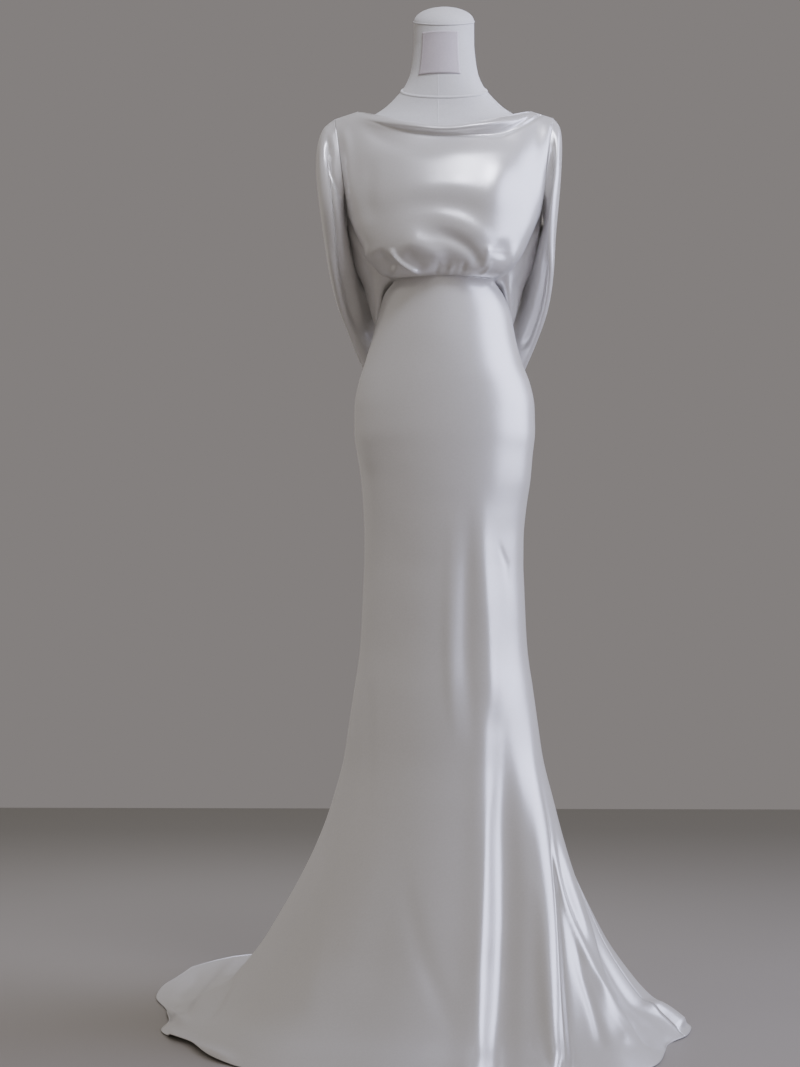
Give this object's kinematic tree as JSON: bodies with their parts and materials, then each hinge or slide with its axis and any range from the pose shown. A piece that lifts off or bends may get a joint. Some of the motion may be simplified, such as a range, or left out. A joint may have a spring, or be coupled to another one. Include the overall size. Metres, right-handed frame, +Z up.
{
  "type": "wedding dress on dress form",
  "caption": "Long satin wedding dress with a cowl boat neck, blouson bodice, long sleeves drawn back and a fluted train, on a limbless dress form with a round base",
  "frame": {"origin": "Middle of the base plate's underside, on the floor, under the form's axis.", "axes": "+Z up; -Y the dress's front; +X the viewer's right, which is the wearer's left."},
  "size_m": [0.9594, 1.12, 1.7829],
  "materials": {
    "satin": "soft ivory satin",
    "form_cloth": "white linen over padding",
    "cap_cloth": "smooth white cloth",
    "label_card": "plain white woven label, bare",
    "stand_metal": "pale grey lacquer"
  },
  "bodies": {
    "root": {"bodice_front": "satin", "bodice_back": "satin", "sleeve_left": "satin", "sleeve_right": "satin", "skirt_front": "satin", "skirt_back_left": "satin", "skirt_back_right": "satin", "form_body": "form_cloth", "form_cap": "cap_cloth", "form_label": "label_card", "stand_base": "stand_metal", "stand_pole": "stand_metal"}
  },
  "joints": []
}
